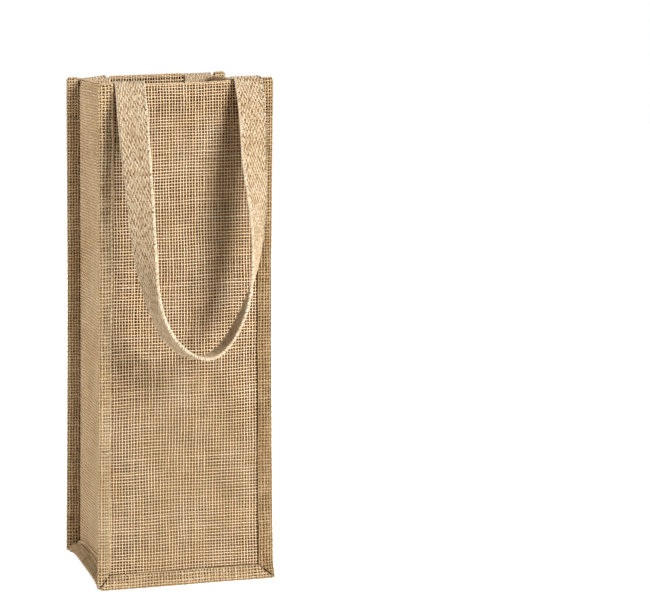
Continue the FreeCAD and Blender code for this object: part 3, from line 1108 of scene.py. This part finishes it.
# The webbing: columns of floats, each a row of steps along its period.
web_columns = 16
web_pitch = 0.98
web_period = 4.3
web_end = 0.3
spare_floats = 3
first_float = 1.5
float_step_shares = np.array([0.0, 0.11, 0.3, 0.66, 0.87])
float_height_shares = np.array([0.0, 0.05, 1.0, 0.95, 0.0])
column_lag_share = 0.51
float_spread_share = 0.07
float_slant = -0.2
float_slant_spread = 0.3
float_jitter = 0.05
float_low = -0.12
float_rise = 0.58
float_half_width = 0.38
float_swell = 0.13
float_width_spread = 0.04
float_half_height = 0.42
column_tone_spread_share = 0.05
float_tone_spread_share = 0.16
# A crease spreads the columns of the strap's outside between two lengths.
strap_crease = (146, 186)
no_crease = (0, 0)
crease_run = 10
crease_spread = 0.3
# The selvedge: wefts that turn round the strap's edge.
edge_turn = 0.8
edge_steps = np.array([-1.35, -0.75, 0.0, 0.75, 1.35])
edge_width_shares = np.array([0.8, 1, 1.05, 1, 0.8])
edge_inset = 0.85
edge_reach = 0.6
edge_half_thickness = 0.62
edge_end = 1.2
edge_pitch = 1.45
edge_jitter = 0.12
edge_slant = 0.55
edge_slant_spread = 0.2
edge_half_width = 0.78
edge_width_spread = 0.08
edge_half_height = 0.38
edge_tone_share = 0.8
edge_tone_spread_share = 0.16
outside_room = (0, 0, 1, 0.42)
inside_room = (0, 0.44, 1, 0.86)
left_edge_room = (0, 0.87, 1, 0.93)
right_edge_room = (0, 0.94, 1, 1)
core_half_width = 7.9
core_half_thickness = 0.28
core_end = 0.4
core_column_step = 4.0
core_row_step = 2.0


def smooth_through(knots, spans):
    """A natural cubic spline through evenly timed knots."""
    count = len(knots)
    rows = np.eye(count)
    sums = np.zeros(knots.shape)
    for k in range(1, count - 1):
        rows[k, k - 1 : k + 2] = (1, 4, 1)
        sums[k] = 6 * (knots[k - 1] - 2 * knots[k] + knots[k + 1])
    curl = np.linalg.solve(rows, sums)
    time = np.linspace(0, count - 1, spans * (count - 1) + 1)
    k = np.minimum(time.astype(int), count - 2)
    u = (time - k)[:, None]
    low, high = knots[k], knots[k + 1]
    bend_low, bend_high = curl[k], curl[k + 1]
    return (1 - u) * low + u * high + ((1 - u) ** 3 - (1 - u)) * bend_low / 6 + (u ** 3 - u) * bend_high / 6


def strap_line(face):
    """Middle line and width direction of a whole strap, from one sewn end to the other."""
    course = smooth_through(strap_course, course_spans)
    x, z, turned = course[:, 0], course[:, 1], np.radians(np.clip(course[:, 2], 0, most_turn))
    start_out = hinge_y + strap_fold_radius * math.cos(leave_angle)
    start_z = rim_z + strap_fold_height * math.sin(leave_angle)
    swung = stand_off * (1 - np.exp(np.minimum(z - start_z, 0) / spring_run))
    hanging = np.stack([x, start_out + strap_lean * np.sin(turned) + swung, z], -1)
    way = np.gradient(course[:, :2], axis=0)
    way /= np.linalg.norm(way, axis=1, keepdims=True)
    inward = np.stack([-way[:, 1], np.zeros(len(x)), way[:, 0]], -1)
    straight = np.stack([-np.sign(x), np.zeros(len(x)), np.where(x > 0, right_tilt, 0.0)], -1)
    free = eased((start_z - z) / free_run)[:, None]
    inward = straight * (1 - free) + inward * free
    inward /= np.linalg.norm(inward, axis=1, keepdims=True)
    width = inward * np.cos(turned)[:, None] + np.array([0, 1.0, 0]) * np.sin(turned)[:, None]
    climb_z = lines(rim_z - sewn_length, rim_z, climb_step)
    turn = lines(0, math.pi - leave_angle, fold_step)[1:-1]
    climb_out = np.full(len(climb_z), hinge_y - strap_fold_radius)
    end_out = np.concatenate([climb_out, hinge_y - strap_fold_radius * np.cos(turn)])
    end_z = np.concatenate([climb_z, rim_z + strap_fold_height * np.sin(turn)])
    middles, widths = [], []
    over = eased(np.concatenate([np.zeros(len(climb_z)), turn / turn[-1]]))
    for side, outside in ((left, 0), (right, -1)):
        at = side * strap_x + (x[outside] - side * strap_x) * over
        middles.append(np.stack([at, end_out, end_z], -1))
        widths.append((1 - over)[:, None] * np.array([-side, 0.0, 0.0]) + over[:, None] * width[outside])
    middle = np.concatenate([middles[0], hanging, middles[1][::-1]])
    width = np.concatenate([widths[0], width, widths[1][::-1]])
    facing = np.array((1, -1, 1) if face == front else (-1, 1, 1))
    return middle * facing, width * facing


def strap_surface(face):
    """A strap's middle surface, and its length."""
    middle, width = strap_line(face)
    gone = np.concatenate([[0], np.cumsum(np.linalg.norm(np.diff(middle, axis=0), axis=1))])

    def surface(a, v):
        at = np.stack([np.interp(v, gone, middle[:, k]) for k in range(3)], -1)
        towards = np.stack([np.interp(v, gone, width[:, k]) for k in range(3)], -1)
        towards /= np.linalg.norm(towards, axis=-1, keepdims=True)
        return at + a[..., None] * towards

    return surface, gone[-1]


def webbing_floats(surface, length, up, room, seed, crease=no_crease):
    """One side of the webbing: columns of slanting floats, about half a step apart from column to column."""
    rng = np.random.default_rng(seed)
    count = int(length / web_period) + spare_floats
    steps = len(float_step_shares)

    def for_each_float(middle, spread):
        return np.repeat(rng.normal(middle, spread, (web_columns, count)), steps, axis=1)

    column = np.arange(web_columns)
    lag = column_lag_share * column % 1.0
    uneven = for_each_float(0, float_spread_share)
    base = (np.arange(count)[:, None] + float_step_shares).ravel()
    along = (base[None, :] - first_float + lag[:, None] + uneven) * web_period
    along = np.maximum.accumulate(np.clip(along, web_end, length - web_end), axis=1)
    height = np.tile(float_height_shares, count)[None, :]
    lean = np.tile((float_step_shares - half_way) * (float_step_shares > 0), count)[None, :]
    line = ((column - (web_columns - 1) / 2) * web_pitch)[:, None]
    line = line + up * for_each_float(float_slant, float_slant_spread) * lean
    line = line + rng.normal(0, float_jitter, along.shape)
    creased = eased((along - crease[0]) / crease_run) * eased((crease[1] - along) / crease_run)
    line = line + crease_spread * creased * np.where(column < web_columns / 2, -1, 1)[:, None]
    rise = up * (float_low + float_rise * height) + np.zeros(along.shape)
    half = float_half_width + float_swell * height + rng.normal(0, float_width_spread, along.shape)
    thick = np.full(along.shape, float_half_height * up)
    tone = middle_tone_share + rng.normal(0, column_tone_spread_share, (web_columns, 1))
    tone = np.clip(tone + for_each_float(0, float_tone_spread_share), 0, 1)
    return strands(
        surface, line, along, rise, half, thick, tone, float_section_shares, True, room, settled
    )


def selvedge(surface, length, edge, room, seed):
    """The edge of the webbing, where each weft turns round the last warp."""
    def round_edge(a, v):
        turn = -edge * a / edge_turn
        out = strap_width / 2 - edge_inset + edge_reach * np.cos(turn)
        return lifted(surface, edge * out, v, edge_half_thickness * np.sin(turn))

    rng = np.random.default_rng(seed)
    middle = lines(edge_end, length - edge_end, edge_pitch)
    middle = (middle + rng.normal(0, edge_jitter, len(middle)))[:, None]
    along = np.broadcast_to(edge_steps, (len(middle), len(edge_steps)))
    line = middle + rng.normal(edge_slant, edge_slant_spread, middle.shape) * edge_steps
    half = rng.normal(edge_half_width, edge_width_spread, middle.shape) * edge_width_shares
    thick = np.full(along.shape, edge_half_height)
    tone = np.clip(rng.normal(edge_tone_share, edge_tone_spread_share, middle.shape), 0, 1)
    tone = np.broadcast_to(tone, along.shape)
    flat = np.zeros(along.shape)
    return strands(
        round_edge, line, along, flat, half, thick, tone, float_section_shares, False, room, settled
    )


def handle(face, name, nodes, seed):
    """A whole strap, which bends over the rim between the bag and its swinging loop."""
    surface, length = strap_surface(face)
    parts = [
        webbing_floats(surface, length, 1, outside_room, seed, strap_crease),
        webbing_floats(surface, length, -1, inside_room, seed + seed_step),
        selvedge(surface, length, left, left_edge_room, seed + 2 * seed_step),
        selvedge(surface, length, right, right_edge_room, seed + 3 * seed_step),
    ]
    yarns = write_piece(name + "_webbing", parts, [webbing])
    columns = lines(-core_half_width, core_half_width, core_column_step)
    a, v = np.meshgrid(columns, lines(core_end, length - core_end, core_row_step), indexing="ij")
    core = slab(surface, a, v, -core_half_thickness, core_half_thickness, settled, slots=(0, 0, 0))
    sheet = write_piece(name + "_core", [core], [webbing_core_painted_shade])
    for piece in (yarns, sheet):
        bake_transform(piece)
        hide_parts(*nodes)
    flat_size(strap_width, length)


for number, (face, face_name) in enumerate(face_names.items()):
    strap = face_name + "_handle"
    nodes = [strap + "_loop"]
    for side_name in side_names.values():
        nodes += [strap + "_" + side_name + kind for kind in ("_end", "_fold")]
    handle(face, strap + "_strap", nodes, strap_seed + number)


# Stitching, drawn as separate stitches

stitch_pitch = 3.1
stitch_step_shares = np.array([-0.44, -0.3, 0.0, 0.3, 0.44])
stitch_heights = np.array([-0.25, 0.16, 0.24, 0.16, -0.25])
thread_half_width = 0.26
thread_half_height = 0.2
stitch_stray = 0.08
stitch_slant = 0.05
stitch_tone_spread_share = 0.15
stitch_room_share = 0.95
stitch_seed = 90
thread_sink = 0.1
on_weave = relief - thread_sink
on_strap = 0.1
wide_hem_row = 43.5
side_hem_row = 44.0
upright_row = (9.5, 293.0)
base_row = (-43.0, 41.0)
side_base_row = (-44.0, 44.0)
box_half_width = 6.4
box_low = 264.8
box_top = 290.1


def stitch_row(surface, start, end, rise, room, seed):
    """Stitches along a line on a surface, from (a, v) to (a, v)."""
    start, end = np.array(start, float), np.array(end, float)
    length = np.linalg.norm(end - start)
    count = max(1, int(length / stitch_pitch))
    along = ((np.arange(count) + 0.5)[:, None] + stitch_step_shares[None, :]) * (length / count)

    def on_line(a, v):
        way = (end - start) / length
        aside = np.array([-way[1], way[0]])
        place = start[:, None] + way[:, None] * v.ravel() + aside[:, None] * a.ravel()
        return surface(place[0].reshape(a.shape), place[1].reshape(a.shape))

    shape = along.shape
    rng = np.random.default_rng(seed)
    line = rng.normal(0, stitch_stray, (count, 1))
    line = line + rng.normal(0, stitch_slant, (count, 1)) * stitch_step_shares
    tone = np.clip(middle_tone_share + rng.normal(0, stitch_tone_spread_share, (count, 1)), 0, 1)
    return strands(
        on_line,
        line,
        along,
        rise + np.broadcast_to(stitch_heights, shape),
        np.full(shape, thread_half_width),
        np.full(shape, thread_half_height),
        np.broadcast_to(tone, shape),
        thread_section_shares,
        True,
        room,
        settled,
    )


def stitching(name, rows, node):
    """One piece from rows of stitches, each a surface, a start, an end and a height over the surface."""
    parts = []
    for number, (surface, start, end, rise) in enumerate(rows):
        room = (0, number / len(rows), 1, (number + stitch_room_share) / len(rows))
        parts.append(stitch_row(surface, start, end, rise, room, stitch_seed + number))
    piece = write_piece(name, parts, [thread])
    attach(piece, "bag")
    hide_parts(node)


def hem_row(surface, half):
    return (surface, (-half, hem_row_z), (half, hem_row_z), on_weave)


def strip_row(surface, seam_at, ends):
    """A row along the visible leg of a strip."""
    at = surface.hand * seam_at
    return (surface, (at, ends[0]), (at, ends[1]), on_weave)


def box_rows(surface, low_x, high_x, rise):
    """A box of stitches with its two diagonals."""
    corners = [(low_x, box_low), (high_x, box_low), (high_x, box_top), (low_x, box_top)]
    pairs = list(zip(corners, corners[1:] + corners[:1]))
    pairs += [(corners[0], corners[2]), (corners[1], corners[3])]
    return [(surface, start, end, rise) for start, end in pairs]


def strap_inner_face(face):
    """The side of the sewn strap ends that faces the inside of the bag."""
    def surface(a, v):
        return np.stack([face * a, np.full(np.shape(a), face * (inner_y - strap_thickness)), v], -1)

    return surface


hem_rows = [hem_row(wide_surface(face), wide_hem_row) for face in (front, back)]
hem_rows += [hem_row(side_surface(side), side_hem_row) for side in (left, right)]
stitching("hem_stitches", hem_rows, "hem_stitching")
for face, face_name in face_names.items():
    rows = []
    for side in (left, right):
        seam_at = half_nose + (upright_legs[side] - seam_inset)
        rows.append(strip_row(upright_strip(face, side), seam_at, upright_row))
    rows.append(strip_row(base_strip(face), half_nose + base_leg - seam_inset, base_row))
    stitching(face_name + "_binding_stitches", rows, face_name + "_binding_stitching")
rows = []
for side in (left, right):
    rows.append(strip_row(side_base_strip(side), half_nose + leg_length - seam_inset, side_base_row))
stitching("side_base_stitches", rows, "side_base_stitching")
for face, face_name in face_names.items():
    rows = []
    for side in (left, right):
        low_x, high_x = sorted((side * (strap_x - box_half_width), side * (strap_x + box_half_width)))
        rows += box_rows(strap_inner_face(face), low_x, high_x, on_strap)
        rows += box_rows(wide_surface(face), low_x, high_x, on_weave)
    stitching(face_name + "_handle_stitches", rows, face_name + "_handle_stitching")


# Floor, light and camera, in metres

floor_size = 8
floor_grey = (0.9, 0.9, 0.9, 1)
floor_roughness = 0.9
floor_specular = 0.1
floor_glow = 0.87
room_light = 0.15
warm_white = (1, 0.95, 0.88)
# Each lamp's place, aim, width and power.
lamps = {
    "key": ((0.93, -2.03, 1.12), (0, -0.05, 0.15), 1.0, 74),
    "side_fill": ((-1.5, -0.12, 0.5), (0, 0, 0.15), 0.9, 10.9),
    "back_fill": ((0.6, 1.5, 0.9), (0, 0.05, 0.18), 0.9, 19),
}
camera_place = (-0.339, -1.403, 0.354)
camera_degrees = (90 - 7.56, 0, -17.36)
camera_lens = 134.17
sensor_width = 36.0
nearest_seen = 0.05


def seen_directly(tree):
    """1 for what the camera sees, also in mirrors and through glass, and 0 for what lights the object."""
    path = add(tree, "ShaderNodeLightPath")
    seen = math_node(tree, "MAXIMUM", path.outputs["Is Camera Ray"], path.outputs["Is Glossy Ray"])
    return math_node(tree, "MAXIMUM", seen, path.outputs["Is Transmission Ray"])


def plain_floor():
    bpy.ops.mesh.primitive_plane_add(size=floor_size, location=(0, 0, 0))
    floor = bpy.context.object
    floor.name = "floor"
    material, tree, body = shader("white_floor", floor_roughness, floor_specular)
    body.inputs["Base Color"].default_value = floor_grey
    body.inputs["Emission Color"].default_value = white
    tree.links.new(scaled(tree, seen_directly(tree), floor_glow), body.inputs["Emission Strength"])
    floor.data.materials.append(material)


def world_light():
    world = bpy.data.worlds.new("white_room")
    bpy.context.scene.world = world
    world.use_nodes = True
    tree = world.node_tree
    tree.nodes.clear()
    output = add(tree, "ShaderNodeOutputWorld")
    lit = add(tree, "ShaderNodeBackground")
    lit.inputs["Color"].default_value = (*warm_white, 1)
    lit.inputs["Strength"].default_value = room_light
    shown = add(tree, "ShaderNodeBackground")
    shown.inputs["Color"].default_value = white
    mix = add(tree, "ShaderNodeMixShader")
    tree.links.new(seen_directly(tree), mix.inputs[0])
    tree.links.new(lit.outputs[0], mix.inputs[1])
    tree.links.new(shown.outputs[0], mix.inputs[2])
    tree.links.new(mix.outputs[0], output.inputs[0])


def lamp(name, place, aim, size, power):
    """A round soft lamp, turned to its aim."""
    data = bpy.data.lights.new(name, "AREA")
    data.shape = "DISK"
    data.size = size
    data.energy = power
    holder = bpy.data.objects.new(name, data)
    bpy.context.scene.collection.objects.link(holder)
    holder.location = place
    way = np.array(aim) - np.array(place)
    flat = math.hypot(way[0], way[1])
    holder.rotation_euler = (math.atan2(flat, -way[2]), 0, math.atan2(-way[0], way[1]))


def camera():
    data = bpy.data.cameras.new("camera")
    data.lens = camera_lens
    data.sensor_width = sensor_width
    data.clip_start = nearest_seen
    holder = bpy.data.objects.new("camera", data)
    bpy.context.scene.collection.objects.link(holder)
    holder.location = camera_place
    holder.rotation_euler = [math.radians(angle) for angle in camera_degrees]
    bpy.context.scene.camera = holder


plain_floor()
world_light()
for name, settings in lamps.items():
    lamp(name, *settings)
bpy.data.lights["side_fill"].color = warm_white
camera()
bpy.context.scene.view_settings.view_transform = "Standard"
